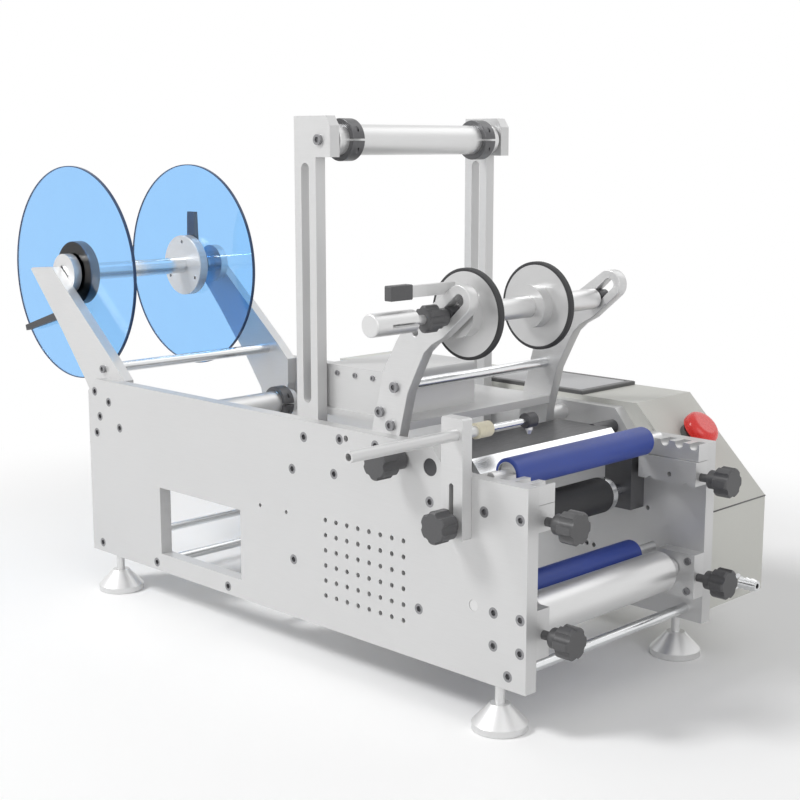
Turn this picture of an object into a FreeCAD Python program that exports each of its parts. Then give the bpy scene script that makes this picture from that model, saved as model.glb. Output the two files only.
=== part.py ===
import FreeCAD, Part
import math
import os

V = FreeCAD.Vector

# Side plates. x runs towards the roller end, y across, z up.
plate_t = 14.0
width = 280.0
length = 650.0
plate_h = 200.0
step_h = 180.0
near_in = plate_t
far_in = width - plate_t
vent_x, vent_z, vent_pitch, vent_r = -250.5, 107.5, 15.0, 2.4
vent_cols, vent_rows = 8, 6
window = (-517.5, -379.5, 20.0, 94.0)

# Clearances.
run = 0.06
press = 0.02
slide = 0.1

# Flat bar arms and posts.
arm_t = 12.0
near_arm = near_in + arm_t
far_arm = far_in - arm_t
post_x0, post_x1, post_low, post_top = -305.0, -275.0, 136.0, 449.0
post_slot_r = 5.5
cap_len, cap_h = 50.0, 38.0
press_far0, press_far1 = 227.0, 239.0

# Screws: head radius and height, shank radius, socket across flats.
head_r, head_h, shank_r, socket_af = 5.0, 5.0, 3.0, 5.0

# Roller axes (x, z), body radius and body ends in y.
blue_up = (-55.0, 178.5, 13.8, 36.5, 238.0)
blue_low = (-60.0, 66.5, 13.7, 33.0, 231.0)
silver = (-26.0, 55.5, 20.0, 33.0, 230.0)
rubber = (-88.0, 123.0, 17.5, 33.0, 215.0)
gantry = (-270.0, 465.0, 14.5, 28.0, 252.0)
guide = (-590.0, 149.6, 14.5, 28.0, 252.0)
journal_r = 5.0
roller_fillet = 2.0

# Notched rails at the roller end.
rail_len = 66.0
rail_split = 163.2
rail_low = 140.0
notch_r = 4.5
notch_pitch = (blue_up[0] + 6.0) / 3.0
rail_near, rail_far_up, rail_far_low = 35.0, 251.0, 247.0
block_len, block_low, block_high = 42.0, 28.0, 72.0
block_near, block_far = 30.5, 250.0

# Label reel.
reel_x, reel_z = -733.0, 311.0
disc_r, disc_t, hub_r = 124.5, 3.5, 37.0
reel_shaft_r = 10.0
housing_r, housing_t = 23.0, 10.0
near_disc_y, far_hub_y = 38.5, 198.0
hub_t = 12.0

# Press wheels, carried in the angled slots of the front arms.
press_x, press_z = -110.0, 313.0
slot_ang = math.radians(42.0)
wheel_r, wheel_w, tyre_t = 41.0, 6.0, 3.0
press_r, stub_r, pin_r = 10.0, 10.0, 4.0
near_wheel_y, far_wheel_y = 42.0, 139.0
press_slot_r = 5.5
slot_back, slot_fwd = 8.0, 27.0

# Peel plate and sensor.
peel_x, peel_z, peel_y0, peel_y1 = -112.5, 181.0, 30.0, 235.0
peel_near_r, peel_far_r = 8.0, 7.0
peel_knob_x, peel_knob_z = -148.0, 183.0
sensor_x0, sensor_x1, sensor_z0, sensor_z1, sensor_t = -88.0, -63.0, 125.0, 232.0, 12.0
slot_x, clamp_z = -76.0, 139.0
tube_x, tube_z, tube_r, tube_in = -71.0, 217.5, 5.0, 3.2
rod_r = 2.8

# Control box on the far plate.
box_back, box_y1, box_z0, box_seam, box_z1 = -531.0, 374.5, 12.0, 110.0, 205.0
slope_x = -94.0
sheet = 2.0
estop_y = 327.0
estop_off = 36.0
button_travel = 4.0

# Feet.
foot_r, foot_drop, stem_r = 25.0, 40.0, 4.5
foot_x = (-34.0, -607.0)

tie_rods = ((-20.0, 12.0), (-402.0, 8.5), (-526.5, 8.5), (-631.0, 10.5))
tie_r = 5.0
rear_tie = (-637.7, 209.6, 6.0)
arm_tie = (-170.0, 244.0, 5.0)

star_r, star_len = 14.5, 20.0


def block(x0, x1, y0, y1, z0, z1):
    return Part.makeBox(x1 - x0, y1 - y0, z1 - z0, V(x0, y0, z0))


def rod_y(x, z, r, y0, y1):
    return Part.makeCylinder(r, y1 - y0, V(x, y0, z), V(0, 1, 0))


def rod_x(y, z, r, x0, x1):
    return Part.makeCylinder(r, x1 - x0, V(x0, y, z), V(1, 0, 0))


def rod_z(x, y, r, z0, z1):
    return Part.makeCylinder(r, z1 - z0, V(x, y, z0), V(0, 0, 1))


def slab(points, y0, y1):
    loop = [V(x, y0, z) for x, z in points]
    face = Part.Face(Part.makePolygon(loop + [loop[0]]))
    return face.extrude(V(0, y1 - y0, 0))


def long_hole(xa, za, xb, zb, r, y0, y1):
    run_x, run_z = xb - xa, zb - za
    size = math.hypot(run_x, run_z)
    off_x, off_z = -run_z / size * r, run_x / size * r
    mid = slab([(xa + off_x, za + off_z), (xb + off_x, zb + off_z),
                (xb - off_x, zb - off_z), (xa - off_x, za - off_z)], y0, y1)
    return mid.fuse([rod_y(xa, za, r, y0, y1), rod_y(xb, zb, r, y0, y1)])


def hexagon(x, z, across, y0, y1):
    r = across / math.sqrt(3.0)
    points = [(x + r * math.cos(math.radians(60 * i)), z + r * math.sin(math.radians(60 * i)))
              for i in range(6)]
    return slab(points, y0, y1)


def round_ends(solid, axis_x, axis_z, r, size):
    picked = []
    for edge in solid.Edges:
        if not isinstance(edge.Curve, Part.Circle) or abs(edge.Curve.Radius - r) > 1e-4:
            continue
        picked.append(edge)
    return solid.makeFillet(size, picked) if picked else solid


def group(solids):
    return Part.makeCompound(solids)


# ---- screws -------------------------------------------------------------

def sunk_screw(x, z, y_face, inward, r=head_r):
    y_a, y_b = sorted((y_face, y_face + inward * head_h))
    head = rod_y(x, z, r - press, y_a, y_b)
    s_a, s_b = sorted((y_face, y_face + inward * 3.0))
    head = head.cut(hexagon(x, z, socket_af, s_a, s_b))
    if (x, z) == (guide[0], guide[1]):
        return head
    k_a, k_b = sorted((y_face + inward * head_h, y_face + inward * 12.0))
    return head.fuse(rod_y(x, z, shank_r - press, k_a, k_b))


def sunk_seat(x, z, y_face, inward, r=head_r):
    y_a, y_b = sorted((y_face, y_face + inward * head_h))
    k_a, k_b = sorted((y_face, y_face + inward * 12.0))
    return rod_y(x, z, r, y_a, y_b).fuse(rod_y(x, z, shank_r, k_a, k_b))


def raised_screw(x, z, y_face, outward, r, h):
    y_a, y_b = sorted((y_face, y_face + outward * h))
    head = rod_y(x, z, r, y_a, y_b)
    s_a, s_b = sorted((y_face + outward * h, y_face + outward * h * 0.4))
    return head.cut(hexagon(x, z, r, s_a, s_b))


arm_screws = [(-637.0, 185.6), (-610.0, 176.4), (-628.0, 158.0), (-635.0, 138.6)]
frame_points = [(-280.5, 184.0), (-298.0, 150.0), (-238.0, 154.5), (-182.0, 190.0),
                (-48.7, 152.0), (-8.4, 172.0 - 20.0), (-37.0, 65.0), (-7.0, 65.3), (-37.0, 35.4),
                (-7.0, 35.6), (guide[0], guide[1])] + list(tie_rods)
plug_points = [(-113.0, 149.5), (-297.4, 59.0), (-126.0, 48.0), (-230.0, 189.0)]
pin_holes = [(-347.6, 104.8), (-307.7, 104.9)]
near_points = arm_screws + frame_points + plug_points
far_points = arm_screws + [(guide[0], guide[1]), tie_rods[3]]


def frame_screws():
    solids = [sunk_screw(x, z, 0.0, 1.0) for x, z in near_points]
    solids += [sunk_screw(x, z, width, -1.0) for x, z in far_points]
    return solids


def small_screws():
    out = [raised_screw(x, z, 28.0, -1.0, 2.6, 1.4)
           for x, z in ((-262.0, 245.5), (-237.5, 245.5), (-213.5, 245.5))]
    for x, z in ((-189.0, 219.0), (-175.0, 208.0), (arm_tie[0], arm_tie[1])):
        out.append(raised_screw(x, z, near_in, -1.0, head_r, 3.0))
    for y_face, side in ((near_in, -1.0), (far_in, 1.0)):
        out.append(raised_screw(gantry[0], gantry[1], y_face, side, head_r, 3.0))
        out.append(raised_screw(rear_tie[0], rear_tie[1], y_face, side, 4.4, 3.0)
                   if side < 0 else rod_y(rear_tie[0], rear_tie[1], 4.4, far_in, far_in + 3.0))
    for z in (35.0, 65.0):
        out.append(raised_screw(-7.0, z, block_near, 1.0, 3.6, 2.5))
        out.append(raised_screw(-7.0, z, block_far, -1.0, 3.6, 2.5))
    return out


# ---- plates and fixed frame ----------------------------------------------

def plate_outline():
    return [(-length, 0.0), (0.0, 0.0), (0.0, step_h), (-94.0, step_h), (-110.0, plate_h),
            (-length + 15.0, plate_h), (-length, plate_h - 15.0)]


def side_plate(y0, y1, outer, inward, points):
    plate = slab(plate_outline(), y0, y1)
    cutters = [sunk_seat(x, z, outer, inward) for x, z in points]
    mid = outer + inward * plate_t / 2.0
    for x in foot_x:
        cutters.append(rod_z(x, mid, stem_r + press, -1.0, 20.0))
    inner = outer + inward * plate_t
    b_a, b_b = sorted((outer - inward, inner + inward))
    cutters.append(rod_y(blue_low[0], blue_low[1], journal_r + run, b_a, b_b))
    j_a, j_b = sorted((outer + inward * 6.0, inner + inward))
    cutters.append(rod_y(guide[0], guide[1], journal_r + run, j_a, j_b))
    return plate, cutters


def near_side_plate():
    plate, cutters = side_plate(0.0, plate_t, 0.0, 1.0, near_points)
    x0, x1, z0, z1 = window
    cutters.append(block(x0, x1, -1.0, plate_t + 1.0, z0, z1))
    for col in range(vent_cols):
        for row in range(vent_rows):
            cutters.append(rod_y(vent_x + col * vent_pitch, vent_z - row * vent_pitch,
                                 vent_r, -1.0, plate_t + 1.0))
    for x, z in pin_holes:
        cutters.append(rod_y(x, z, 2.0, -1.0, 8.0))
    cutters.append(rod_y(peel_x, peel_z, peel_near_r + run, -1.0, plate_t + 1.0))
    cutters.append(rod_y(peel_knob_x, peel_knob_z, pin_r + run, -1.0, 10.0))
    cutters.append(rod_y(slot_x, clamp_z, 2.5 + run, -1.0, 10.0))
    cutters.append(rod_y(-221.0, 191.0, 3.0, -1.0, 8.0))
    return plate.cut(cutters)


def far_side_plate():
    plate, cutters = side_plate(far_in, width, width, -1.0, far_points)
    cutters.append(rod_y(peel_x, peel_z, peel_far_r + run, far_in - 1.0, width - 4.0))
    cutters.append(rod_y(rubber[0], rubber[1], 6.0 + run + 0.4, far_in - 1.0, width + 1.0))
    for x, z in ((-67.0, 104.6), (-141.5, 54.0), (-132.4, 53.5)):
        cutters.append(rod_y(x, z, 2.4, far_in - 1.0, far_in + 8.0))
    return plate.cut(cutters)


def tie_bars():
    bars = [rod_y(x, z, tie_r, near_in, far_in) for x, z in tie_rods]
    bars.append(rod_y(rear_tie[0], rear_tie[1], rear_tie[2], near_arm, far_arm))
    bars.append(rod_y(arm_tie[0], arm_tie[1], arm_tie[2], near_arm, press_far0))
    return bars


def notched_rail(y0, y1):
    rail = block(-rail_len, 0.0, y0, y1, rail_split + 0.4, step_h)
    for i in range(4):
        x = -6.0 + i * notch_pitch
        rail = rail.cut(rod_y(x, blue_up[1], notch_r + run, y0 - 1, y1 + 1))
        half = notch_r + run
        rail = rail.cut(block(x - half, x + half, y0 - 1, y1 + 1, blue_up[1], step_h + 1))
    return rail


def lower_rail(y0, y1, stud_y):
    rail = block(-rail_len, 0.0, y0, y1, rail_low, rail_split)
    rail = rail.cut(rod_x(stud_y, knob_top_z, pin_r + run, -26.0, 1.0))
    if y0 > width / 2:
        rail = rail.cut(rod_y(-30.0, 148.0, 2.4, y0 - 1, y0 + 8))
        for x in (-52.0, -11.0):
            tri = [(x - 5.0, rail_low - 0.01), (x + 5.0, rail_low - 0.01), (x, rail_low + 3.0)]
            rail = rail.cut(slab(tri, y0 - 1, y1 + 1))
    return rail


knob_top_z, knob_low_z = 148.0, 49.0
knob_spots = {"near_top_knob": (25.0, knob_top_z), "far_top_knob": (256.5, knob_top_z),
              "near_bottom_knob": (23.0, knob_low_z), "far_bottom_knob": (257.0, knob_low_z)}


def rail_bars():
    return [notched_rail(near_in, rail_near), notched_rail(rail_far_up, far_in),
            lower_rail(near_in, rail_near, 25.0), lower_rail(rail_far_low, far_in, 256.5)]


def roller_block(y0, y1, stud_y):
    body = block(-block_len, 0.0, y0, y1, block_low, block_high)
    body = body.cut(rod_y(silver[0], silver[1], 6.0 + run, y0 - 1, y1 + 1))
    return body.cut(rod_x(stud_y, knob_low_z, pin_r + run, -15.0, 1.0))


def rubber_block(y0, y1):
    body = block(rubber[0] - 16.0, rubber[0] + 16.0, y0, y1, 105.0, 158.0)
    return body.cut(rod_y(rubber[0], rubber[1], 6.0 + run, y0 - 1, y1 + 1))


def bearing_blocks():
    return [roller_block(near_in, block_near, 23.0), roller_block(block_far, far_in, 257.0),
            rubber_block(near_in, near_arm), rubber_block(244.0, far_in)]


def gantry_post(y0, y1):
    mid = (post_x0 + post_x1) / 2.0
    post = block(post_x0, post_x1, y0, y1, post_low, post_top)
    return post.cut(long_hole(mid, 220.0, mid, 438.0, post_slot_r, y0 - 1, y1 + 1))


def gantry_cap(y0, y1, inner, side):
    x1 = post_x0 + cap_len
    top = post_top + cap_h
    pts = [(post_x0, post_top), (x1, post_top), (x1, top - 9.0), (x1 - 6.0, top), (post_x0, top)]
    cap = slab(pts, y0, y1)
    a, b = sorted((inner + side * 1.0, inner - side * 9.0))
    return cap.cut(rod_y(gantry[0], gantry[1], journal_r + run, a, b))


def rear_arm_outline():
    return [(-785.0, 314.0), (-781.0, 316.0), (-739.0, 319.0), (-619.0, 219.0), (-598.0, 200.0),
            (-598.0, 170.0), (-612.0, 128.0), (-643.0, 128.0), (-650.0, 158.0),
            (-678.0, 195.0), (-725.0, 250.0)]


def near_rear_arm():
    arm = slab(rear_arm_outline(), near_in, near_arm)
    return arm.cut(rod_y(brake_x, brake_z, 4.0 + run, near_in + 3.0, near_arm + 1.0))


def far_rear_arm():
    return slab(rear_arm_outline(), far_arm, far_in)


brake_x, brake_z = -718.0, 270.0


def brake_lever():
    tip_x, tip_z = -824.0, 239.0
    size = math.hypot(tip_x - brake_x, tip_z - brake_z)
    ux, uz = (tip_x - brake_x) / size, (tip_z - brake_z) / size
    pts = [(brake_x - uz * 5.0, brake_z + ux * 5.0), (tip_x - uz * 3.4, tip_z + ux * 3.4),
           (tip_x + uz * 3.4, tip_z - ux * 3.4), (brake_x + uz * 5.0, brake_z - ux * 5.0)]
    y0, y1 = near_arm + 1.0, near_arm + 7.0
    blade = slab(pts, y0, y1).fuse([rod_y(brake_x, brake_z, 8.0, y0, y1)])
    return blade.fuse(rod_y(brake_x, brake_z, 4.0, near_in + 4.0, y0))


def reel_housing(y0, y1):
    ring = rod_y(reel_x, reel_z, housing_r, y0, y1)
    return ring.cut(rod_y(reel_x, reel_z, reel_shaft_r + run, y0 - 1, y1 + 1))


# ---- rollers --------------------------------------------------------------

def roller_body(spec, fillet=roller_fillet):
    x, z, r, y0, y1 = spec
    return round_ends(rod_y(x, z, r, y0, y1), x, z, r, fillet)


def upper_blue_roller():
    x, z, r, y0, y1 = blue_up
    body = roller_body(blue_up)
    for a, b in ((y0 - 1, y0 + 3.0), (y1 - 3.0, y1 + 1)):
        body = body.cut(rod_y(x, z, 10.0, a, b))
    return body.fuse([rod_y(x, z, notch_r, near_in + 1.5, y0 + 5.0),
                      rod_y(x, z, notch_r, y1 - 5.0, far_in - 1.5)])


def lower_blue_roller():
    x, z, r, y0, y1 = blue_low
    body = roller_body(blue_low)
    return body.fuse([rod_y(x, z, journal_r, 0.6, y0 + 1), rod_y(x, z, 8.0, y1 - 1, y1 + 8.0),
                      rod_y(x, z, journal_r, y1 + 7.0, width - 0.6)])


def silver_roller():
    x, z, r, y0, y1 = silver
    body = round_ends(rod_y(x, z, r, y0, y1), x, z, r, 1.0)
    collar = rod_y(x, z, 13.0, y1 - 1, y1 + 4.0).fuse(rod_y(x, z, 9.0, y1 + 4.0, block_far - 1.0))
    ends = [rod_y(x, z, 6.0, near_in + 1.0, y0 + 1), rod_y(x, z, 6.0, block_far - 2.0, far_in - 1.0)]
    return body.fuse([collar] + ends)


def rubber_roller():
    x, z, r, y0, y1 = rubber
    return roller_body(rubber).cut(rod_y(x, z, 8.0 + press, y0 - 1, y1 + 1))


def rubber_roller_shaft():
    x, z, r, y0, y1 = rubber
    flange = rod_y(x, z, r - 0.6, y1, y1 + 7.0)
    core = rod_y(x, z, 8.0, near_arm + 1.0, y1 + 12.0)
    thin = [rod_y(x, z, 6.0, near_in + 1.0, near_arm + 2.0),
            rod_y(x, z, 6.0, y1 + 11.0, width + 30.0)]
    return core.fuse([flange] + thin)


def drive_motor():
    x, z = rubber[0], rubber[1]
    body = block(x - 21.0, x + 21.0, width, width + 40.0, z - 21.0, z + 21.0)
    corners = [e for e in body.Edges if abs(e.Vertexes[0].Y - e.Vertexes[-1].Y) > 30.0]
    body = body.makeChamfer(4.0, corners)
    return body.cut(rod_y(x, z, 6.0 + run, width - 1.0, width + 34.0))


def cross_roller(spec, end_gap):
    x, z, r, y0, y1 = spec
    body = roller_body(spec, 1.0)
    return body.fuse([rod_y(x, z, journal_r, y0 - end_gap, y0 + 1),
                      rod_y(x, z, journal_r, y1 - 1, y1 + end_gap)])


def split_collar(spec, y0):
    x, z, r, _, _ = spec
    ring = rod_y(x, z, 20.0, y0, y0 + 15.0)
    ring = round_ends(ring, x, z, 20.0, 0.8).cut(rod_y(x, z, r + press, y0 - 1, y0 + 16.0))
    ring = ring.cut(block(x, x + 21.0, y0 - 1, y0 + 16.0, z - 1.0, z + 1.0))
    return ring.cut(rod_z(x + 17.0, y0 + 7.5, 1.6, z - 22.0, z + 22.0))


# ---- reel -----------------------------------------------------------------

def reel_disc(y0):
    disc = rod_y(reel_x, reel_z, disc_r, y0, y0 + disc_t)
    return disc.cut(rod_y(reel_x, reel_z, reel_shaft_r + press, y0 - 1, y0 + disc_t + 1))


def reel_hub(y0, holes):
    hub = rod_y(reel_x, reel_z, hub_r, y0, y0 + hub_t)
    hub = round_ends(hub, reel_x, reel_z, hub_r, 0.8)
    hub = hub.cut(rod_y(reel_x, reel_z, reel_shaft_r + press, y0 - 1, y0 + hub_t + 1))
    if holes:
        for i in range(3):
            a = math.radians(90 + 120 * i)
            hub = hub.cut(rod_y(reel_x + 29.0 * math.cos(a), reel_z + 29.0 * math.sin(a),
                                2.2, y0 - 1, y0 + 4.0))
    return hub


def reel_clamp_lever():
    y0 = far_hub_y + hub_t + disc_t + 0.6
    ring = rod_y(reel_x, reel_z, 22.0, y0, y0 + 10.0)
    blade = slab([(reel_x - 9.0, reel_z + 12.0), (reel_x + 9.0, reel_z + 12.0),
                  (reel_x + 6.5, reel_z + 66.0), (reel_x - 6.5, reel_z + 66.0)], y0, y0 + 6.0)
    lever = ring.fuse(blade)
    return lever.cut(rod_y(reel_x, reel_z, reel_shaft_r + run, y0 - 1, y0 + 11))


# ---- press wheels and front arms --------------------------------------------

def front_arm_outline():
    return [(-203.0, 178.0), (-201.0, 200.0), (-185.5, 257.5), (-169.0, 286.0), (-158.0, 301.0),
            (-126.0, 323.0), (-102.0, 345.0), (-92.0, 350.0), (-80.0, 348.0), (-71.0, 339.0),
            (-73.0, 328.0), (-112.0, 294.0), (-125.0, 287.0), (-134.0, 279.0), (-140.0, 268.0),
            (-154.5, 240.0), (-165.0, 198.5), (-168.0, 178.0)]


def along_slot(dist):
    return (press_x + dist * math.cos(slot_ang), press_z + dist * math.sin(slot_ang))


def front_arm(y0, y1):
    arm = slab(front_arm_outline(), y0, y1)
    xa, za = along_slot(-slot_back)
    xb, zb = along_slot(slot_fwd)
    return arm.cut(long_hole(xa, za, xb, zb, press_slot_r, y0 - 1, y1 + 1))


lift_x0, lift_x1, lift_z0, lift_z1 = -113.0, -108.0, 333.0, 343.0


def near_front_arm():
    arm = front_arm(near_in, near_arm)
    return arm.cut(block(lift_x0, lift_x1, near_in - 1, near_arm + 1, lift_z0, lift_z1 + 10))


def far_front_arm():
    return front_arm(press_far0, press_far1)


def lift_bar():
    return block(lift_x0, lift_x1, -50.0, near_arm, lift_z0, lift_z1)


def lift_bar_grip():
    cap = block(lift_x0 - 2.0, lift_x1 + 2.0, -54.0, -28.0, lift_z0 - 1.5, lift_z1 + 1.5)
    cap = cap.makeFillet(1.2, cap.Edges)
    return cap.cut(block(lift_x0 - press, lift_x1 + press, -50.0 - press, -27.0,
                         lift_z0 - press, lift_z1 + press))


def arm_spacers():
    return [rod_y(x, 188.0, 8.0, press_far1, far_in) for x in (-193.0, -177.0)]


def press_bearing(y0, y1, flange_y0, flange_y1):
    xa, za = along_slot(-5.0)
    xb, zb = along_slot(5.0)
    shoe = long_hole(xa, za, xb, zb, press_slot_r - slide, y0, y1)
    shoe = shoe.fuse(rod_y(press_x, press_z, 8.0, flange_y0, flange_y1))
    return shoe.cut(rod_y(press_x, press_z, pin_r + run, y0 - 5, y1 + 5))


def press_bearings():
    return [press_bearing(near_in, near_arm + 0.4, near_arm + 0.3, near_arm + 1.5),
            press_bearing(press_far0 - 0.4, press_far1, press_far0 - 1.5, press_far0 - 0.3)]


def press_shaft():
    main = rod_y(press_x, press_z, press_r, near_arm + 2.0, press_far0 - 2.0)
    pins = [rod_y(press_x, press_z, pin_r, -60.0, near_arm + 3.0),
            rod_y(press_x, press_z, pin_r, press_far0 - 3.0, press_far1 + 2.0)]
    return main.fuse(pins)


def shaft_stub():
    stub = rod_y(press_x, press_z, stub_r, -76.0, -25.0)
    stub = round_ends(stub, press_x, press_z, stub_r, 1.5)
    keyway = block(press_x + 7.0, press_x + 12.0, -58.0, -24.0, press_z - 2.6, press_z + 0.6)
    keyway = keyway.fuse(block(press_x - 1.0, press_x + 12.0, -58.0, -24.0,
                               press_z - 2.0, press_z - 0.4))
    stub = stub.cut(rod_y(press_x, press_z, pin_r + press, -60.0 - press, -24.0))
    return stub.cut(keyway)


def press_wheel(y0):
    rim = rod_y(press_x, press_z, wheel_r - tyre_t, y0, y0 + wheel_w)
    hub = rod_y(press_x, press_z, 20.0, y0 - 12.0, y0 + 1)
    hub = hub.fuse(rim)
    return hub.cut(rod_y(press_x, press_z, press_r + press, y0 - 13, y0 + wheel_w + 1))


def press_tyre(y0):
    ring = rod_y(press_x, press_z, wheel_r, y0, y0 + wheel_w)
    ring = round_ends(ring, press_x, press_z, wheel_r, 1.2)
    return ring.cut(rod_y(press_x, press_z, wheel_r - tyre_t + press, y0 - 1, y0 + wheel_w + 1))


# ---- knobs ----------------------------------------------------------------

def star(r, size):
    body = Part.makeCylinder(r, size)
    body = body.makeChamfer(1.5, [e for e in body.Edges if isinstance(e.Curve, Part.Circle)])
    for i in range(6):
        a = math.radians(60 * i)
        cutter = Part.makeCylinder(r * 0.34, size + 2, V(r * 1.14 * math.cos(a),
                                                         r * 1.14 * math.sin(a), -1))
        body = body.cut(cutter)
    return body


def front_knob(y, z):
    head = star(star_r, 16.0)
    head.rotate(V(0, 0, 0), V(0, 1, 0), 90)
    head.translate(V(20.0, y, z))
    hub = rod_x(y, z, 9.0, 11.0, 20.0)
    depth = -25.0 if z == knob_top_z else -14.0
    return head.fuse([hub, rod_x(y, z, pin_r, depth, 12.0)])


def side_knob(x, z, r, root, tip, stud_r, stud_end, neck):
    head = star(r, root - neck - tip)
    head.rotate(V(0, 0, 0), V(1, 0, 0), 90)
    head.translate(V(x, root - neck, z))
    hub = rod_y(x, z, r * 0.62, root - neck, root)
    return head.fuse([hub, rod_y(x, z, stud_r, root - 1.0, stud_end)])


def press_knob():
    head = star(12.0, 16.0)
    head.rotate(V(0, 0, 0), V(1, 0, 0), 90)
    head.translate(V(press_x, 4.0, press_z))
    knob = head.fuse(rod_y(press_x, press_z, 8.0, 4.0, near_in - 0.3))
    return knob.cut(rod_y(press_x, press_z, pin_r + run, -13.0, near_in))


# ---- peel plate and sensor ----------------------------------------------------

def peel_plate():
    pts = [(-156.0, 187.0), (-91.0, 187.0), (-78.5, 173.5), (-79.5, 171.5), (-94.0, 177.0),
           (-156.0, 177.0)]
    plate = slab(pts, peel_y0, peel_y1)
    return plate.fuse([rod_y(peel_x, peel_z, peel_near_r, 0.5, peel_y0 + 3.0),
                       rod_y(peel_x, peel_z, peel_far_r, peel_y1 - 3.0, width - 5.0)])


def sensor_block():
    body = block(sensor_x0, sensor_x1, -sensor_t, -0.2, sensor_z0, sensor_z1)
    corners = [e for e in body.Edges if abs(e.Vertexes[0].Y - e.Vertexes[-1].Y) > 5.0]
    body = body.makeChamfer(1.5, corners)
    body = body.cut(long_hole(slot_x, 134.0, slot_x, 172.0, 2.5 + slide, -13.0, 1.0))
    return body.cut(rod_y(tube_x, tube_z, tube_r + run, -13.0, 1.0))


def sensor_tube():
    tube = rod_y(tube_x, tube_z, tube_r, -137.0, 12.0)
    return tube.cut(rod_y(tube_x, tube_z, tube_in, -138.0, 13.0))


def sensor_bush():
    bush = rod_y(tube_x, tube_z, 7.0, 12.0, 30.0)
    return bush.cut(rod_y(tube_x, tube_z, rod_r + press, 11.0, 31.0))


def sensor_rod():
    plug = rod_y(tube_x, tube_z, tube_in - press, -40.0, 11.0)
    return plug.fuse(rod_y(tube_x, tube_z, rod_r, 10.0, 84.0))


def sensor_head():
    body = block(tube_x - 27.0, tube_x + 6.0, 76.0, 98.0, 209.0, 226.0)
    body = body.fuse(block(tube_x - 27.0, tube_x - 2.0, 76.0, 98.0, 194.0, 210.0))
    gap = block(tube_x - 28.0, tube_x - 8.0, 75.0, 99.0, 199.0, 203.0)
    body = body.cut([gap, rod_y(tube_x, tube_z, rod_r + press, 75.0, 84.0)])
    edges = [e for e in body.Edges if e.BoundBox.ZMin > 225.9]
    return body.makeChamfer(2.0, edges)


# ---- deck, cover, control box --------------------------------------------------

def deck_plate():
    return block(-290.0, -163.0, near_arm, press_far0, 203.6, 211.0)


def top_cover():
    x0, x1, y0, y1, z0, z1 = -283.0, -191.0, 28.0, 145.0, 211.0, 253.0
    outer = block(x0, x1, y0, y1, z0, z1)
    top = [e for e in outer.Edges if e.BoundBox.ZMin > z1 - 0.1 and e.BoundBox.XMax - e.BoundBox.XMin < 1]
    outer = outer.makeFillet(3.0, top)
    return outer.cut(block(x0 + 1.5, x1 - 1.5, y0 + 1.5, y1 - 1.5, z0 - 1, z1 - 1.5))


def lid_outline(inset):
    front = (box_z1 - box_seam) / -slope_x
    diag = inset * math.hypot(1.0, front)
    return [(box_back + inset, box_seam - inset * 0.0), (-inset, box_seam),
            (-inset, box_seam + 0.5 + inset * 0.2 - 0.0 if inset == 0 else box_seam + inset * front
             - diag + 0.5 + inset * 0.4),
            (slope_x - inset * 0.4, box_z1 - inset), (box_back + inset, box_z1 - inset)]


def box_lid():
    outer = slab(lid_outline(0.0), width, box_y1)
    inner = slab(lid_outline(sheet), width - 1.0, box_y1 - sheet)
    lid = outer.cut(inner)
    lid = lid.cut(block(box_back + sheet, -sheet, width - 1, box_y1 - sheet,
                        box_seam - 1.0, box_seam + 0.5))
    lip = block(box_back + 1.0, slope_x - 3.0, width, width + sheet, 186.0, box_z1 - 1.0)
    lid = lid.fuse(lip)
    back = estop_frame(-30.0)
    bore = Part.makeCylinder(11.0 + press, 60.0, back[0], back[1])
    return lid.cut(bore)


def box_base():
    outer = block(box_back, 0.0, width, box_y1, box_z0, box_seam)
    inner = block(box_back + sheet, -sheet, width - 1.0, box_y1 - sheet, box_z0 + sheet,
                  box_seam + 1.0)
    return outer.cut([inner, rod_x(barb_y, barb_z, 5.0 + press, -5.0, 1.0)])


def operator_panel():
    panel = block(-300.0, -163.0, width + 1.0, box_y1 - 1.5, box_z1, box_z1 + 4.0)
    panel = panel.cut(block(-293.0, -170.0, width + 8.0, box_y1 - 8.0, box_z1 + 3.2, box_z1 + 5.0))
    return panel.makeChamfer(0.8, [e for e in panel.Edges if e.BoundBox.ZMin > box_z1 + 3.9
                                   and (e.BoundBox.XMax > -163.1 or e.BoundBox.YMin < width + 1.1)])


def estop_frame(dist):
    rise = (box_z1 - box_seam - 0.5) / slope_x
    nrm = V(-rise, 0, 1.0)
    nrm.normalize()
    px = slope_x + estop_off
    pz = box_z1 + rise * estop_off
    base = V(px, estop_y, pz)
    return base + nrm * dist, nrm


def estop_collar():
    seat, nrm = estop_frame(0.0)
    ring = Part.makeCylinder(15.0, 6.0, seat, nrm)
    inside, _ = estop_frame(-20.0)
    body = Part.makeCylinder(11.0, 21.0, inside, nrm)
    bore, _ = estop_frame(-14.0)
    return ring.fuse(body).cut(Part.makeCylinder(5.0 + run, 30.0, bore, nrm))


def estop_button():
    low, nrm = estop_frame(6.0 + button_travel + 1.0)
    head = Part.makeCylinder(19.0, 12.0, low, nrm)
    top = [e for e in head.Edges if isinstance(e.Curve, Part.Circle)]
    top.sort(key=lambda e: (e.Curve.Center - low).Length)
    head = head.makeFillet(8.0, [top[-1]])
    stem_at, _ = estop_frame(-8.0)
    return head.fuse(Part.makeCylinder(5.0, 20.0, stem_at, nrm))


barb_y, barb_z = 318.0, 33.0


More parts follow.
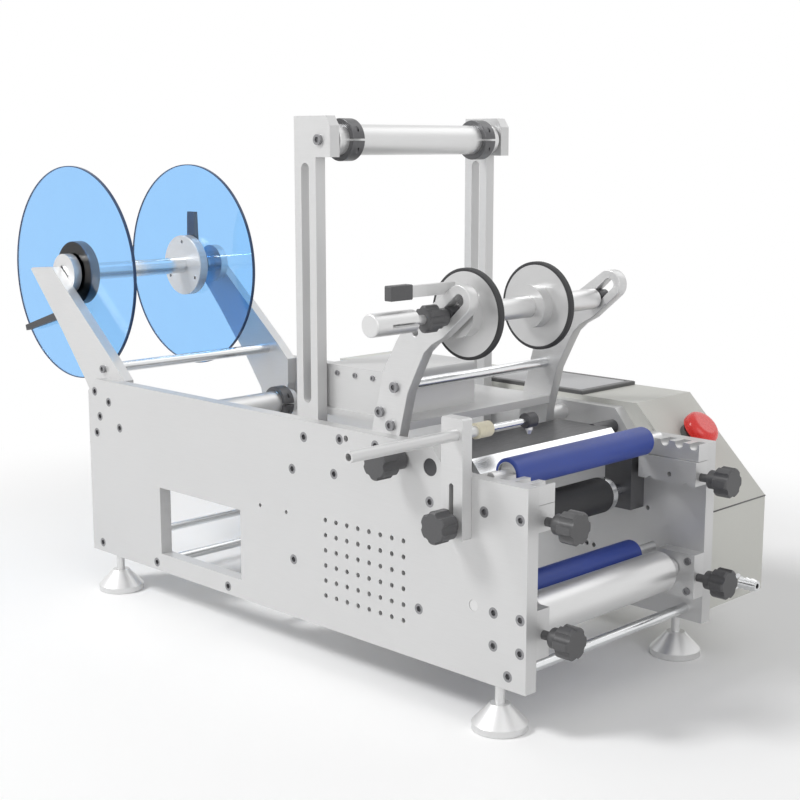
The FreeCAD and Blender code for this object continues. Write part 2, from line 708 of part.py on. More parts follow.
def hose_barb():
    neck = rod_x(barb_y, barb_z, 5.0, -4.0, 1.0)
    nut = rod_x(barb_y, barb_z, 8.0, 0.0, 6.0)
    body = rod_x(barb_y, barb_z, 5.0, 5.0, 29.0)
    parts = [nut, body]
    for i in range(3):
        x = 11.0 + i * 6.0
        parts.append(Part.makeCone(6.6, 5.0, 5.5, V(x, barb_y, barb_z), V(1, 0, 0)))
    barb = neck.fuse(parts)
    return barb.cut(rod_x(barb_y, barb_z, 2.6, -5.0, 30.0))


def power_supply():
    return block(-480.0, -330.0, 292.0, 352.0, box_z0 + sheet, box_z0 + sheet + 40.0)


def control_board():
    z0 = box_z0 + sheet
    board = block(-310.0, -220.0, 292.0, 362.0, z0 + 8.0, z0 + 9.6)
    extras = [rod_z(x, y, 3.0, z0, z0 + 8.0) for x in (-304.0, -226.0) for y in (298.0, 356.0)]
    extras += [block(-300.0, -270.0, 310.0, 340.0, z0 + 9.6, z0 + 13.0),
               block(-255.0, -235.0, 300.0, 350.0, z0 + 9.6, z0 + 21.0)]
    return board.fuse(extras)


# ---- feet -----------------------------------------------------------------

def foot(x, y):
    cone = Part.makeCone(foot_r, 9.0, 17.0, V(x, y, -foot_drop + 6.0))
    base = rod_z(x, y, foot_r, -foot_drop, -foot_drop + 6.0)
    nut = hexagon(0, 0, 13.0, 0, 5.0)
    nut.rotate(V(0, 0, 0), V(1, 0, 0), 90)
    nut.translate(V(x, y, -foot_drop + 23.0 - 0.0))
    stem = rod_z(x, y, stem_r, -foot_drop + 20.0, 15.0)
    return base.fuse([cone, stem])


def feet():
    return [foot(x, y) for x in foot_x for y in (plate_t / 2.0, width - plate_t / 2.0)]


nodes = {
    "near_side_plate": near_side_plate,
    "far_side_plate": far_side_plate,
    "tie_rods": tie_bars,
    "frame_screws": lambda: frame_screws() + small_screws(),
    "rail_bars": rail_bars,
    "bearing_blocks": bearing_blocks,
    "gantry_posts": lambda: [gantry_post(near_in, near_arm), gantry_post(far_arm, far_in)],
    "gantry_caps": lambda: [gantry_cap(near_in, near_arm, near_arm, 1.0),
                            gantry_cap(far_arm, far_in, far_arm, -1.0)],
    "rear_arms": lambda: [near_rear_arm(), far_rear_arm()],
    "reel_housings": lambda: [reel_housing(near_arm, near_arm + housing_t),
                              reel_housing(far_arm - housing_t, far_arm)],
    "front_arms": lambda: [near_front_arm(), far_front_arm()],
    "arm_spacers": arm_spacers,
    "deck_plate": deck_plate,
    "top_cover": top_cover,
    "lift_bar": lift_bar,
    "lift_bar_grip": lift_bar_grip,
    "box_base": box_base,
    "box_lid": box_lid,
    "operator_panel": operator_panel,
    "stop_collar": estop_collar,
    "hose_barb": hose_barb,
    "power_supply": power_supply,
    "control_board": control_board,
    "drive_motor": drive_motor,
    "levelling_feet": feet,
    "upper_blue_roller": upper_blue_roller,
    "lower_blue_roller": lower_blue_roller,
    "silver_roller": silver_roller,
    "rubber_roller": rubber_roller,
    "rubber_roller_shaft": rubber_roller_shaft,
    "gantry_roller": lambda: cross_roller(gantry, 10.0),
    "gantry_collars": lambda: [split_collar(gantry, 39.5), split_collar(gantry, 225.0)],
    "guide_roller": lambda: cross_roller(guide, 21.0),
    "guide_collars": lambda: [split_collar(guide, 39.5), split_collar(guide, 225.0)],
    "reel_shaft": lambda: rod_y(reel_x, reel_z, reel_shaft_r, near_arm + 1.0, far_arm - 1.0),
    "near_reel_disc": lambda: reel_disc(near_disc_y),
    "near_reel_hub": lambda: reel_hub(near_disc_y + disc_t, False),
    "far_reel_hub": lambda: reel_hub(far_hub_y, True),
    "far_reel_disc": lambda: reel_disc(far_hub_y + hub_t),
    "reel_clamp_lever": reel_clamp_lever,
    "brake_lever": brake_lever,
    "press_bearings": press_bearings,
    "press_shaft": press_shaft,
    "shaft_stub": shaft_stub,
    "press_wheels": lambda: [press_wheel(near_wheel_y), press_wheel(far_wheel_y)],
    "press_tyres": lambda: [press_tyre(near_wheel_y), press_tyre(far_wheel_y)],
    "press_knob": press_knob,
    "peel_plate": peel_plate,
    "peel_knob": lambda: side_knob(peel_knob_x, peel_knob_z, star_r, -1.0, -35.0, pin_r, 9.0, 14.0),
    "sensor_knob": lambda: side_knob(slot_x, clamp_z, star_r, -sensor_t - 0.2, -36.0, 2.5, 9.0, 5.0),
    "sensor_block": sensor_block,
    "sensor_tube": sensor_tube,
    "sensor_bush": sensor_bush,
    "sensor_rod": sensor_rod,
    "sensor_head": sensor_head,
    "stop_button": estop_button,
}
for knob_name, (knob_y, knob_z) in knob_spots.items():
    nodes[knob_name] = lambda y=knob_y, z=knob_z: front_knob(y, z)


def main():
    os.makedirs("parts", exist_ok=True)
    made = {}
    for name, maker in nodes.items():
        shape = maker()
        made[name] = group(shape) if isinstance(shape, list) else shape
    whole = Part.makeCompound(list(made.values())).BoundBox
    shift = V(-(whole.XMin + whole.XMax) / 2.0, -(whole.YMin + whole.YMax) / 2.0, -whole.ZMin)
    print("shift", shift)
    for name, shape in made.items():
        shape.translate(shift)
        shape.exportStep("parts/%s.step" % name)
    print(len(made), "nodes", whole.XLength, whole.YLength, whole.ZLength)


main()
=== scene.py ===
import math
import bmesh
import bpy
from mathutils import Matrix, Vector


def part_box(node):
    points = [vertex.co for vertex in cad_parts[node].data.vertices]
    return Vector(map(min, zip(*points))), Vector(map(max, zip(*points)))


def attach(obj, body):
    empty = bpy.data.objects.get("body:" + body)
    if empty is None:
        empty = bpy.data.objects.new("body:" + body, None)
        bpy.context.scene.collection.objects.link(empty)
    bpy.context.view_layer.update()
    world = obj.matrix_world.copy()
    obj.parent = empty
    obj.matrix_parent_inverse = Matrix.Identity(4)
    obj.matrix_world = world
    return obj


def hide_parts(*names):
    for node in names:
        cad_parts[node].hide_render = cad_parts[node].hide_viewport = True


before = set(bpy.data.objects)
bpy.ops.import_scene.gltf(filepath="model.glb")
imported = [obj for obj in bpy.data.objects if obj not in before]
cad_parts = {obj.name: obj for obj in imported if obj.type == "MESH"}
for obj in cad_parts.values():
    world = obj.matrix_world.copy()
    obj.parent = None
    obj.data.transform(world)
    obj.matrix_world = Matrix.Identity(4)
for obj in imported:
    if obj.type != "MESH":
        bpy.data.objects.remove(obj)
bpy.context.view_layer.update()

print("frame loaded:", len(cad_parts), "nodes")

# Every place below is in millimetres from the near side plate's front bottom corner.
plateLow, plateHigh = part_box("near_side_plate")
plateCorner = Vector((plateHigh[0], plateLow[1], plateLow[2]))
millimetre = 0.001


def fromCorner(x, y, z):
    return plateCorner + Vector((x, y, z)) * millimetre


# Noise stays near its middle, so only this part of it is used.
noiseRange = {"colour": (0.32, 0.68), "gloss": (0.3, 0.7)}


def addNode(tree, kind, **values):
    node = tree.nodes.new(kind)
    for key, value in values.items():
        setattr(node, key, value)
    return node


def objectCoords(tree, stretch=(1.0, 1.0, 1.0)):
    coords = addNode(tree, "ShaderNodeTexCoord")
    mapping = addNode(tree, "ShaderNodeMapping")
    mapping.inputs["Scale"].default_value = stretch
    tree.links.new(coords.outputs["Object"], mapping.inputs["Vector"])
    return mapping.outputs["Vector"]


def noiseAt(tree, coords, scale, detail):
    noise = addNode(tree, "ShaderNodeTexNoise")
    noise.inputs["Scale"].default_value = scale
    noise.inputs["Detail"].default_value = detail
    tree.links.new(coords, noise.inputs["Vector"])
    return noise.outputs["Fac"]


def colourRamp(tree, fac, dark, light):
    ramp = addNode(tree, "ShaderNodeValToRGB")
    for element, place, colour in zip(ramp.color_ramp.elements, noiseRange["colour"], (dark, light)):
        element.position = place
        element.color = (*colour, 1.0)
    tree.links.new(fac, ramp.inputs["Fac"])
    return ramp.outputs["Color"]


def spread(tree, fac, low, high):
    ranged = addNode(tree, "ShaderNodeMapRange")
    ranged.inputs["From Min"].default_value, ranged.inputs["From Max"].default_value = noiseRange["gloss"]
    ranged.inputs["To Min"].default_value, ranged.inputs["To Max"].default_value = low, high
    tree.links.new(fac, ranged.inputs["Value"])
    return ranged.outputs["Result"]


def shade(colour, factor):
    return tuple(min(1.0, part * factor) for part in colour)


def mixedBy(tree, mask, first, second, kind):
    placeA, placeB, placeOut = {"FLOAT": (2, 3, 0), "RGBA": (6, 7, 2)}[kind]
    mix = addNode(tree, "ShaderNodeMix", data_type=kind)
    tree.links.new(mask, mix.inputs[0])
    tree.links.new(first, mix.inputs[placeA])
    tree.links.new(second, mix.inputs[placeB])
    return mix.outputs[placeOut]


def plainNumber(tree, value):
    node = addNode(tree, "ShaderNodeValue")
    node.outputs[0].default_value = value
    return node.outputs[0]


# A mask is 1 where the second tone shows. It reads object coordinates, so it turns with its piece.
def withinRadius(centre, radius):
    def build(tree):
        away = addNode(tree, "ShaderNodeVectorMath", operation="SUBTRACT")
        away.inputs[1].default_value = centre
        flat = addNode(tree, "ShaderNodeVectorMath", operation="MULTIPLY")
        flat.inputs[1].default_value = (1.0, 0.0, 1.0)
        size = addNode(tree, "ShaderNodeVectorMath", operation="LENGTH")
        inside = addNode(tree, "ShaderNodeMath", operation="LESS_THAN")
        inside.inputs[1].default_value = radius
        tree.links.new(objectCoords(tree), away.inputs[0])
        tree.links.new(away.outputs[0], flat.inputs[0])
        tree.links.new(flat.outputs[0], size.inputs[0])
        tree.links.new(size.outputs["Value"], inside.inputs[0])
        return inside.outputs[0]
    return build


def pastPlane(axis, limit, operation="GREATER_THAN"):
    def build(tree):
        parts = addNode(tree, "ShaderNodeSeparateXYZ")
        past = addNode(tree, "ShaderNodeMath", operation=operation)
        past.inputs[1].default_value = limit
        tree.links.new(objectCoords(tree), parts.inputs[0])
        tree.links.new(parts.outputs[axis], past.inputs[0])
        return past.outputs[0]
    return build


# What a finish has where its own entry says nothing else.
plainFinish = {"contrast": 0.05, "metallic": 0.0, "stretch": (1.0, 1.0, 1.0), "grain": 900.0,
               "grainDetail": 5.0, "cloud": 9.0, "cloudDetail": 3.0, "cloudShare": 0.5, "bump": 0.1,
               "bumpDistance": 0.0001}


def toneOf(tree, spec, fine, blend):
    dark, light = (shade(spec["colour"], 1.0 + side * spec["contrast"]) for side in (-1, 1))
    return colourRamp(tree, blend, dark, light), spread(tree, fine, *spec["rough"])


# A finish has a fine grain for gloss and bump, and a broad cloud so that no face is one flat tone.
def makeFinish(name, spec, second=None, mask=None):
    spec = {**plainFinish, **spec}
    material = bpy.data.materials.new(name)
    material.use_nodes = True
    tree = material.node_tree
    shader = tree.nodes["Principled BSDF"]
    fine = noiseAt(tree, objectCoords(tree, spec["stretch"]), spec["grain"], spec["grainDetail"])
    broad = noiseAt(tree, objectCoords(tree), spec["cloud"], spec["cloudDetail"])
    blend = mixedBy(tree, plainNumber(tree, spec["cloudShare"]), fine, broad, "FLOAT")
    colour, rough = toneOf(tree, spec, fine, blend)
    if second:
        where = mask(tree)
        second = {**plainFinish, **second}
        otherColour, otherRough = toneOf(tree, second, fine, blend)
        colour = mixedBy(tree, where, colour, otherColour, "RGBA")
        rough = mixedBy(tree, where, rough, otherRough, "FLOAT")
        metals = [plainNumber(tree, tone["metallic"]) for tone in (spec, second)]
        metal = mixedBy(tree, where, *metals, "FLOAT")
        tree.links.new(metal, shader.inputs["Metallic"])
    else:
        shader.inputs["Metallic"].default_value = spec["metallic"]
    tree.links.new(colour, shader.inputs["Base Color"])
    tree.links.new(rough, shader.inputs["Roughness"])
    for key in ("Coat Weight", "Coat Roughness", "IOR", "Transmission Weight"):
        if key in spec:
            shader.inputs[key].default_value = spec[key]
    bump = addNode(tree, "ShaderNodeBump")
    bump.inputs["Strength"].default_value = spec["bump"]
    bump.inputs["Distance"].default_value = spec["bumpDistance"]
    tree.links.new(fine, bump.inputs["Height"])
    tree.links.new(bump.outputs["Normal"], shader.inputs["Normal"])
    return material


finishes = {
    "plateAluminium": {"colour": (0.64, 0.64, 0.64), "contrast": 0.03, "metallic": 0.45,
                       "rough": (0.36, 0.46), "grain": 60.0, "stretch": (1.0, 12.0, 30.0), "cloud": 5.0,
                       "bump": 0.05},
    "armAluminium": {"colour": (0.66, 0.66, 0.66), "contrast": 0.04, "metallic": 0.5, "rough": (0.30, 0.42),
                     "grain": 70.0, "stretch": (1.0, 10.0, 22.0), "cloud": 8.0, "bump": 0.05},
    "brightSteel": {"colour": (0.78, 0.79, 0.80), "contrast": 0.03, "metallic": 1.0, "rough": (0.18, 0.28),
                    "grain": 90.0, "stretch": (30.0, 1.0, 30.0), "bump": 0.04},
    "satinSteel": {"colour": (0.72, 0.72, 0.72), "contrast": 0.03, "metallic": 0.75, "rough": (0.32, 0.42),
                   "grain": 90.0, "stretch": (20.0, 1.0, 20.0), "bump": 0.04},
    "wheelSteel": {"colour": (0.62, 0.62, 0.62), "contrast": 0.02, "metallic": 0.55, "rough": (0.28, 0.34),
                   "grain": 40.0, "cloud": 12.0, "bump": 0.01},
    "screwSteel": {"colour": (0.30, 0.30, 0.31), "contrast": 0.08, "metallic": 0.85, "rough": (0.30, 0.42),
                   "grain": 300.0, "bump": 0.05},
    "blackSteel": {"colour": (0.075, 0.075, 0.08), "contrast": 0.2, "metallic": 0.5, "rough": (0.30, 0.48),
                   "grain": 400.0, "bump": 0.1},
    "collarSteel": {"colour": (0.13, 0.13, 0.135), "contrast": 0.1, "metallic": 0.6, "rough": (0.28, 0.40),
                    "grain": 300.0, "bump": 0.06},
    "blueSleeve": {"colour": (0.030, 0.065, 0.33), "contrast": 0.10, "rough": (0.42, 0.55), "grain": 500.0,
                   "cloud": 14.0, "bump": 0.12, "Coat Weight": 0.15, "Coat Roughness": 0.4},
    "blackRubber": {"colour": (0.03, 0.03, 0.032), "contrast": 0.25, "rough": (0.5, 0.68), "grain": 700.0,
                    "bump": 0.2},
    "discTint": {"colour": (0.30, 0.60, 1.0), "contrast": 0.02, "rough": (0.015, 0.04), "grain": 30.0,
                 "cloud": 4.0, "bump": 0.005, "IOR": 1.45, "Transmission Weight": 1.0},
    "discEdge": {"colour": (0.010, 0.045, 0.13), "contrast": 0.15, "rough": (0.2, 0.3), "grain": 60.0,
                 "bump": 0.02},
    "knobPlastic": {"colour": (0.085, 0.085, 0.088), "contrast": 0.15, "rough": (0.38, 0.55), "bump": 0.25},
    "boxPaint": {"colour": (0.62, 0.62, 0.58), "contrast": 0.025, "rough": (0.42, 0.55), "grain": 600.0,
                 "cloud": 6.0, "bump": 0.12, "Coat Weight": 0.1, "Coat Roughness": 0.5},
    "darkPlastic": {"colour": (0.10, 0.10, 0.10), "contrast": 0.12, "rough": (0.35, 0.5), "grain": 800.0,
                    "bump": 0.2},
    "panelGrey": {"colour": (0.40, 0.40, 0.41), "contrast": 0.04, "rough": (0.3, 0.42), "grain": 700.0,
                  "bump": 0.1},
    "creamNylon": {"colour": (0.72, 0.67, 0.52), "contrast": 0.06, "rough": (0.38, 0.5), "grain": 200.0,
                   "stretch": (1.0, 6.0, 1.0), "bump": 0.08},
    "redPlastic": {"colour": (0.82, 0.025, 0.02), "contrast": 0.05, "rough": (0.22, 0.32), "grain": 400.0,
                   "bump": 0.03, "Coat Weight": 0.3, "Coat Roughness": 0.15},
    "boardLacquer": {"colour": (0.02, 0.12, 0.05), "contrast": 0.2, "rough": (0.3, 0.45), "grain": 300.0},
    # Near-black colour painted as shade and dark reflection on the peel plate's top face.
    "paintedShadeSlab": {"colour": (0.075, 0.075, 0.08), "contrast": 0.1, "metallic": 0.35, "rough": (0.3, 0.42),
                 "grain": 80.0, "stretch": (20.0, 1.0, 20.0), "bump": 0.06},
}
made = {name: makeFinish(name, spec) for name, spec in finishes.items()}


def boxMiddle(nodeName):
    low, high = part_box(nodeName)
    return (Vector(low) + Vector(high)) / 2.0


# Pieces of one solid shown in two tones: steel bearings in the roller ends, a peel plate with a painted
# shade slab and a painted highlight nose, and bearing blocks that turn dark behind a plane.
twoTone = {"bearingRadius": 0.0105, "peelHighlightNose": 12.5, "rollerBlockBack": 55.0}


def addTwoTones():
    steel = finishes["satinSteel"]
    for nodeName in ("upper_blue_roller", "lower_blue_roller"):
        mask = withinRadius(boxMiddle(nodeName), twoTone["bearingRadius"])
        made[nodeName] = makeFinish(nodeName + "Finish", finishes["blueSleeve"], steel, mask)
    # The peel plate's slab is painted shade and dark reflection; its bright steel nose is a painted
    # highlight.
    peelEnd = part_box("peel_plate")[1][0]
    highlightNose = pastPlane("X", peelEnd - twoTone["peelHighlightNose"] * millimetre)
    made["peelPlate"] = makeFinish("peelPlateShadeAndHighlight", finishes["paintedShadeSlab"], finishes["brightSteel"], highlightNose)
    behind = pastPlane("X", fromCorner(-twoTone["rollerBlockBack"], 0, 0).x, "LESS_THAN")
    made["bearingBlocks"] = makeFinish("bearingBlockFinish", finishes["armAluminium"],
                                       finishes["collarSteel"], behind)


addTwoTones()
print("finishes made:", len(made))

coats = {
    "plateAluminium": ["near_side_plate", "far_side_plate", "gantry_posts", "deck_plate", "top_cover",
                       "gantry_caps"],
    "armAluminium": ["rear_arms", "rail_bars", "lift_bar", "sensor_block", "sensor_tube", "arm_spacers",
                     "far_reel_hub", "front_arms"],
    "brightSteel": ["tie_rods", "rubber_roller_shaft", "reel_shaft", "sensor_rod", "hose_barb"],
    "satinSteel": ["silver_roller", "gantry_roller", "guide_roller", "press_shaft", "shaft_stub",
                   "reel_housings", "levelling_feet", "power_supply"],
    "wheelSteel": ["press_wheels"],
    "screwSteel": ["frame_screws"],
    "collarSteel": ["gantry_collars", "guide_collars", "near_reel_hub"],
    "blackSteel": ["press_bearings", "brake_lever", "reel_clamp_lever", "drive_motor", "sensor_head"],
    "upper_blue_roller": ["upper_blue_roller"],
    "lower_blue_roller": ["lower_blue_roller"],
    "blackRubber": ["rubber_roller", "press_tyres"],
    "discTint": ["near_reel_disc", "far_reel_disc"],
    "knobPlastic": ["press_knob", "peel_knob", "sensor_knob", "lift_bar_grip", "near_top_knob",
                    "far_top_knob", "near_bottom_knob", "far_bottom_knob"],
    "boxPaint": ["box_base", "box_lid"],
    "darkPlastic": ["operator_panel", "stop_collar"],
    "creamNylon": ["sensor_bush"],
    "redPlastic": ["stop_button"],
    "boardLacquer": ["control_board"],
    "peelPlate": ["peel_plate"],
    "bearingBlocks": ["bearing_blocks"],
}


def dress(nodeName, material):
    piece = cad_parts[nodeName]
    if not piece.material_slots:
        piece.data.materials.append(material)
    for place in piece.material_slots:
        place.material = material


for finishName, nodeNames in coats.items():
    for nodeName in nodeNames:
        dress(nodeName, made[finishName])
print("nodes dressed")


def placePiece(name, mesh, finishName, body):
    piece = bpy.data.objects.new(name, mesh)
    bpy.context.scene.collection.objects.link(piece)
    mesh.materials.clear()
    mesh.materials.append(made[finishName])
    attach(piece, body)
    return piece


# A flat plate cut from an outline, with holes and a small bevel.
# It lies across y, or flat when level is True.
def cutPlate(name, outline, holes, low, high, bevel, level=False):
    curve = bpy.data.curves.new(name, "CURVE")
    curve.dimensions = "2D"
    curve.fill_mode = "BOTH"
    curve.extrude = ((high - low) / 2.0 - bevel) * millimetre
    curve.bevel_depth = bevel * millimetre
    curve.offset = -bevel * millimetre
    curve.bevel_resolution = 1
    for loop in [outline] + holes:
        spline = curve.splines.new("POLY")
        spline.points.add(len(loop) - 1)
        for point, (u, v) in zip(spline.points, loop):
            point.co = (u * millimetre, v * millimetre, 0.0, 1.0)
        spline.use_cyclic_u = True
    holder = bpy.data.objects.new(name + "Curve", curve)
    mesh = bpy.data.meshes.new_from_object(holder)
    mesh.name = name
    bpy.data.objects.remove(holder)
    middle = (low + high) / 2.0 * millimetre
    for vertex in mesh.vertices:
        u, v, depth = vertex.co
        place = Vector((u, v, depth + middle)) if level else Vector((u, middle - depth, v))
        vertex.co = plateCorner + place
    cleanUp(mesh)
    return mesh


weldDistance = 0.000005


def cleanUp(mesh):
    shape = bmesh.new()
    shape.from_mesh(mesh)
    bmesh.ops.remove_doubles(shape, verts=shape.verts, dist=weldDistance)
    bmesh.ops.recalc_face_normals(shape, faces=shape.faces)
    shape.to_mesh(mesh)
    shape.free()


# A turned piece: (radius, distance) pairs about an axis along y, or along z when upright is True.
def turned(name, profile, centre, upright=False, closed=False, steps=96):
    shape = bmesh.new()
    rings = []
    for radius, along in profile:
        ring = []
        for step in range(steps):
            angle = 2.0 * math.pi * step / steps
            across, up = radius * math.cos(angle), radius * math.sin(angle)
            spot = (across, up, along) if upright else (across, along, up)
            ring.append(shape.verts.new(fromCorner(*(c + s for c, s in zip(centre, spot)))))
        rings.append(ring)
    pairs = list(zip(rings, rings[1:])) + ([(rings[-1], rings[0])] if closed else [])
    for first, second in pairs:
        for step in range(steps):
            after = (step + 1) % steps
            shape.faces.new((first[step], first[after], second[after], second[step]))
    if not closed:
        shape.faces.new(rings[0])
        shape.faces.new(rings[-1])
    bmesh.ops.recalc_face_normals(shape, faces=shape.faces)
    mesh = bpy.data.meshes.new(name)
    shape.to_mesh(mesh)
    shape.free()
    return mesh


def arc(centreX, centreZ, radius, startAngle, endAngle, steps):
    turns = [math.radians(startAngle + (endAngle - startAngle) * i / steps) for i in range(steps + 1)]
    return [(centreX + radius * math.cos(turn), centreZ + radius * math.sin(turn)) for turn in turns]


def slotLoop(startX, startZ, angle, size, radius):
    endX = startX + size * math.cos(math.radians(angle))
    endZ = startZ + size * math.sin(math.radians(angle))
    return (arc(startX, startZ, radius, angle + 90, angle + 270, 12)
            + arc(endX, endZ, radius, angle - 90, angle + 90, 12))


def roundedBox(x0, x1, y0, y1, radius):
    centres = [(x1 - radius, y1 - radius), (x0 + radius, y1 - radius),
               (x0 + radius, y0 + radius), (x1 - radius, y0 + radius)]
    loop = []
    for quarter, (x, y) in enumerate(centres):
        loop += arc(x, y, radius, 90 * quarter, 90 * quarter + 90, 5)
    return loop


frontArm = {
    "axle": (-110.0, 313.0),
    "slotAngle": 42.0,
    "slotBack": 8.0,
    "slotSize": 31.0,
    "slotRadius": 5.5,
    "tipCentre": 22.0,
    "tipRadius": 14.0,
    "upperEdge": [(-203.0, 178.0), (-201.0, 200.0), (-185.5, 257.5), (-169.0, 286.0), (-158.0, 301.0),
                  (-126.0, 322.0)],
    "lowerEdge": [(-112.0, 294.0), (-125.0, 287.0), (-134.0, 279.0), (-140.0, 268.0), (-154.5, 240.0),
                  (-165.0, 198.5), (-168.0, 178.0)],
    "spareHole": (-145.0, 296.0, 3.5),
    "near": (14.0, 26.0),
    "far": (227.0, 239.0),
    "bevel": 0.6,
}


def makeFrontArms():
    axleX, axleZ = frontArm["axle"]
    angle = frontArm["slotAngle"]
    alongX, alongZ = math.cos(math.radians(angle)), math.sin(math.radians(angle))
    tip = arc(axleX + frontArm["tipCentre"] * alongX, axleZ + frontArm["tipCentre"] * alongZ,
              frontArm["tipRadius"], angle + 90, angle - 90, 20)
    outline = frontArm["upperEdge"] + tip + frontArm["lowerEdge"]
    slot = slotLoop(axleX - frontArm["slotBack"] * alongX, axleZ - frontArm["slotBack"] * alongZ, angle,
                    frontArm["slotSize"], frontArm["slotRadius"])
    holeX, holeZ, holeRadius = frontArm["spareHole"]
    for name, holes in (("near", [slot, arc(holeX, holeZ, holeRadius, 0, 345, 23)]), ("far", [slot])):
        low, high = frontArm[name]
        mesh = cutPlate(name + "FrontArm", outline, holes, low, high, frontArm["bevel"])
        piece = placePiece(name + "FrontArm", mesh, "armAluminium", "frame")
        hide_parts("front_arms")


reelEdge = {"centre": (-733.0, 0.0, 311.0), "inner": 123.6, "outer": 124.7, "thick": 3.5, "proud": 0.1,
            "soft": 0.3, "near": 38.5, "far": 210.0}


def makeDiscEdges():
    for name in ("near", "far"):
        start = reelEdge[name] - reelEdge["proud"]
        end = reelEdge[name] + reelEdge["thick"] + reelEdge["proud"]
        inner, outer, soft = (reelEdge[key] for key in ("inner", "outer", "soft"))
        profile = [(inner, start), (outer - soft, start), (outer, start + soft), (outer, end - soft),
                   (outer - soft, end), (inner, end)]
        mesh = turned(name + "DiscEdge", profile, reelEdge["centre"], closed=True, steps=160)
        placePiece(name + "DiscEdge", mesh, "discEdge", "reel")


sensorEye = {
    "centre": (-71.0, 0.0, 217.5),
    "housing": [(2.9, 78.0), (6.0, 78.0), (7.0, 79.0), (7.0, 90.0), (6.2, 91.0), (4.0, 91.0), (3.4, 90.2)],
    "nozzle": [(3.2, -5.5), (3.2, -9.0), (2.4, -10.0), (1.6, -12.5)],
    "nozzleY": 85.0,
}


def makeSensorEye():
    centre = sensorEye["centre"]
    mesh = turned("sensorEye", sensorEye["housing"], centre)
    piece = placePiece("sensorEye", mesh, "blackSteel", "sensor_probe")
    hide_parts("sensor_head")
    under = (centre[0], sensorEye["nozzleY"], centre[2])
    mesh = turned("sensorNozzle", sensorEye["nozzle"], under, upright=True, steps=48)
    placePiece("sensorNozzle", mesh, "satinSteel", "sensor_probe")


controlBox = {
    "back": -531.0, "front": 0.0, "near": 280.0, "far": 374.5, "seam": 110.0,
    "gasketHeight": 1.4, "gasketProud": 0.35, "gasketDeep": 2.0, "gasketBevel": 0.1,
    "gusset": [(-112.0, 178.0), (-70.5, 178.0), (-94.6, 203.0), (-112.0, 203.0)],
    "gussetThick": 1.6, "gussetGap": 0.1, "gussetBevel": 0.2,
    "panel": (-292.5, -170.5, 288.5, 366.0), "panelCorner": 3.0, "panelLow": 208.25, "panelHigh": 208.9,
    "panelBevel": 0.15,
}


def makeBoxTrim():
    x0, x1, y0, y1 = (controlBox[key] for key in ("back", "front", "near", "far"))
    proud, deep = controlBox["gasketProud"], controlBox["gasketDeep"]
    half = controlBox["gasketHeight"] / 2.0
    outer = [(x0 - proud, y0), (x1 + proud, y0), (x1 + proud, y1 + proud), (x0 - proud, y1 + proud)]
    inner = [(x0 + deep, y0 + deep), (x1 - deep, y0 + deep), (x1 - deep, y1 - deep), (x0 + deep, y1 - deep)]
    seam = controlBox["seam"]
    mesh = cutPlate("boxGasket", outer, [inner], seam - half, seam + half, controlBox["gasketBevel"], True)
    placePiece("boxGasket", mesh, "darkPlastic", "frame")
    inside = y0 + controlBox["gussetGap"]
    outside = inside + controlBox["gussetThick"]
    mesh = cutPlate("lidGusset", controlBox["gusset"], [], inside, outside, controlBox["gussetBevel"])
    placePiece("lidGusset", mesh, "boxPaint", "frame")
    face = roundedBox(*controlBox["panel"], controlBox["panelCorner"])
    mesh = cutPlate("panelFace", face, [], controlBox["panelLow"], controlBox["panelHigh"],
                    controlBox["panelBevel"], True)
    placePiece("panelFace", mesh, "panelGrey", "frame")


makeFrontArms()
makeDiscEdges()
makeSensorEye()
makeBoxTrim()
print("pieces made")

studio = {
    "floorHalf": 9.0,
    "floorDrop": 0.0004,
    "floorTone": 0.985,
    "shadowReach": (0.55, 1.0),
    "worldStrength": 0.43,
    "key": ((-1.2, -2.2, 2.6), 1.0, 70.0),
    "fill": ((2.6, -0.8, 1.6), 2.0, 16.0),
    "back": ((0.4, 2.4, 2.2), 2.0, 8.0),
    "aim": (0.0, 0.0, 0.2),
}


# 1 for rays that should meet a white background: from the camera, off metal and through the discs.
def seenDirectly(tree):
    path = addNode(tree, "ShaderNodeLightPath")
    result = path.outputs["Is Camera Ray"]
    for other in ("Is Glossy Ray", "Is Transmission Ray"):
        either = addNode(tree, "ShaderNodeMath", operation="MAXIMUM")
        tree.links.new(result, either.inputs[0])
        tree.links.new(path.outputs[other], either.inputs[1])
        result = either.outputs[0]
    return result


def floorMaterial():
    material = bpy.data.materials.new("floorWhite")
    material.use_nodes = True
    tree = material.node_tree
    tree.nodes.clear()
    out = addNode(tree, "ShaderNodeOutputMaterial")
    diffuse = addNode(tree, "ShaderNodeBsdfDiffuse")
    tone = studio["floorTone"]
    diffuse.inputs["Color"].default_value = (tone, tone, tone, 1.0)
    glow = addNode(tree, "ShaderNodeEmission")
    size = addNode(tree, "ShaderNodeVectorMath", operation="LENGTH")
    tree.links.new(objectCoords(tree), size.inputs[0])
    far = addNode(tree, "ShaderNodeMapRange", interpolation_type="SMOOTHSTEP")
    far.inputs["From Min"].default_value, far.inputs["From Max"].default_value = studio["shadowReach"]
    tree.links.new(size.outputs["Value"], far.inputs["Value"])
    share = addNode(tree, "ShaderNodeMath", operation="MULTIPLY")
    tree.links.new(far.outputs["Result"], share.inputs[0])
    tree.links.new(seenDirectly(tree), share.inputs[1])
    mix = addNode(tree, "ShaderNodeMixShader")
    tree.links.new(share.outputs[0], mix.inputs["Fac"])
    tree.links.new(diffuse.outputs[0], mix.inputs[1])
    tree.links.new(glow.outputs[0], mix.inputs[2])
    tree.links.new(mix.outputs[0], out.inputs["Surface"])
    return material


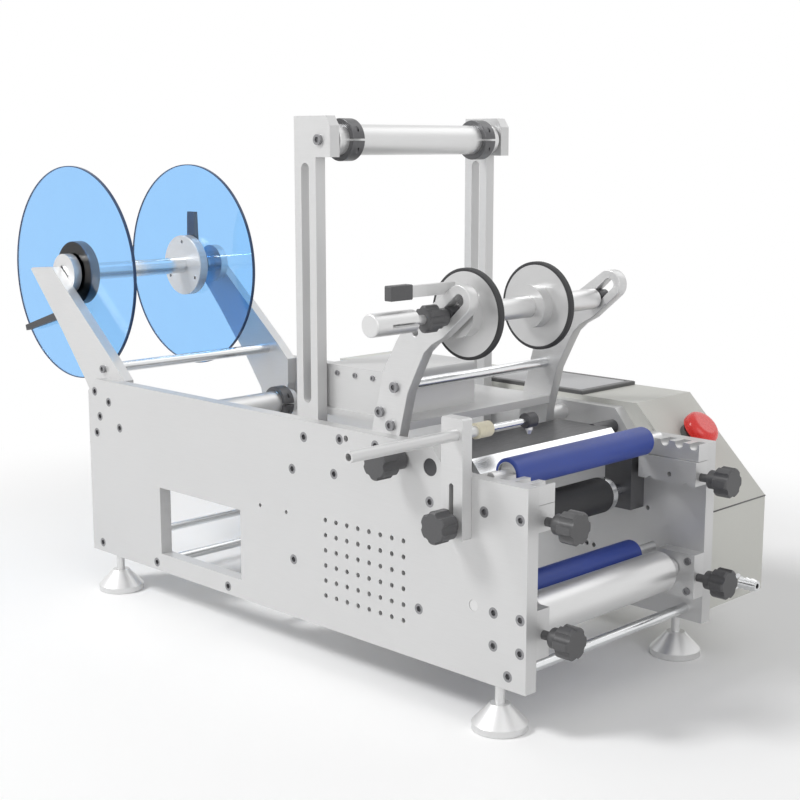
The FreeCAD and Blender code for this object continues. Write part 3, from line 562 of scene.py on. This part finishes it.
def makeFloor():
    half, z = studio["floorHalf"], -studio["floorDrop"]
    mesh = bpy.data.meshes.new("floor")
    corners = [(-half, -half, z), (half, -half, z), (half, half, z), (-half, half, z)]
    mesh.from_pydata(corners, [], [(0, 1, 2, 3)])
    mesh.materials.append(floorMaterial())
    floor = bpy.data.objects.new("floor", mesh)
    bpy.context.scene.collection.objects.link(floor)


def areaLight(name):
    place, size, power = studio[name]
    lampData = bpy.data.lights.new(name, "AREA")
    lampData.shape = "DISK"
    lampData.size = size
    lampData.energy = power
    lamp = bpy.data.objects.new(name, lampData)
    lamp.location = place
    lamp.rotation_mode = "QUATERNION"
    lamp.rotation_quaternion = (Vector(studio["aim"]) - Vector(place)).to_track_quat("-Z", "Y")
    bpy.context.scene.collection.objects.link(lamp)


def makeWorld():
    world = bpy.data.worlds.new("studio")
    bpy.context.scene.world = world
    world.use_nodes = True
    tree = world.node_tree
    tree.nodes.clear()
    out = addNode(tree, "ShaderNodeOutputWorld")
    soft = addNode(tree, "ShaderNodeBackground")
    soft.inputs["Color"].default_value = (1.0, 1.0, 1.0, 1.0)
    soft.inputs["Strength"].default_value = studio["worldStrength"]
    seen = addNode(tree, "ShaderNodeBackground")
    seen.inputs["Color"].default_value = (1.0, 1.0, 1.0, 1.0)
    mix = addNode(tree, "ShaderNodeMixShader")
    tree.links.new(seenDirectly(tree), mix.inputs["Fac"])
    tree.links.new(soft.outputs[0], mix.inputs[1])
    tree.links.new(seen.outputs[0], mix.inputs[2])
    tree.links.new(mix.outputs[0], out.inputs["Surface"])


camera = {"eye": (748.3, -902.0, 462.0), "azimuth": 44.877, "elevation": 10.048, "sensor": 36.0,
          "lens": 65.285}


def makeCamera():
    azimuth, elevation = math.radians(camera["azimuth"]), math.radians(camera["elevation"])
    backwards = Vector((math.sin(azimuth) * math.cos(elevation), -math.cos(azimuth) * math.cos(elevation),
                        math.sin(elevation)))
    cameraData = bpy.data.cameras.new("eye")
    cameraData.sensor_width = camera["sensor"]
    cameraData.lens = camera["lens"]
    eye = bpy.data.objects.new("eye", cameraData)
    eye.location = fromCorner(*camera["eye"])
    eye.rotation_mode = "QUATERNION"
    eye.rotation_quaternion = (-backwards).to_track_quat("-Z", "Y")
    bpy.context.scene.collection.objects.link(eye)
    bpy.context.scene.camera = eye


makeFloor()
makeWorld()
for lampName in ("key", "fill", "back"):
    areaLight(lampName)
makeCamera()
bpy.context.scene.view_settings.view_transform = "Standard"
print("studio ready")
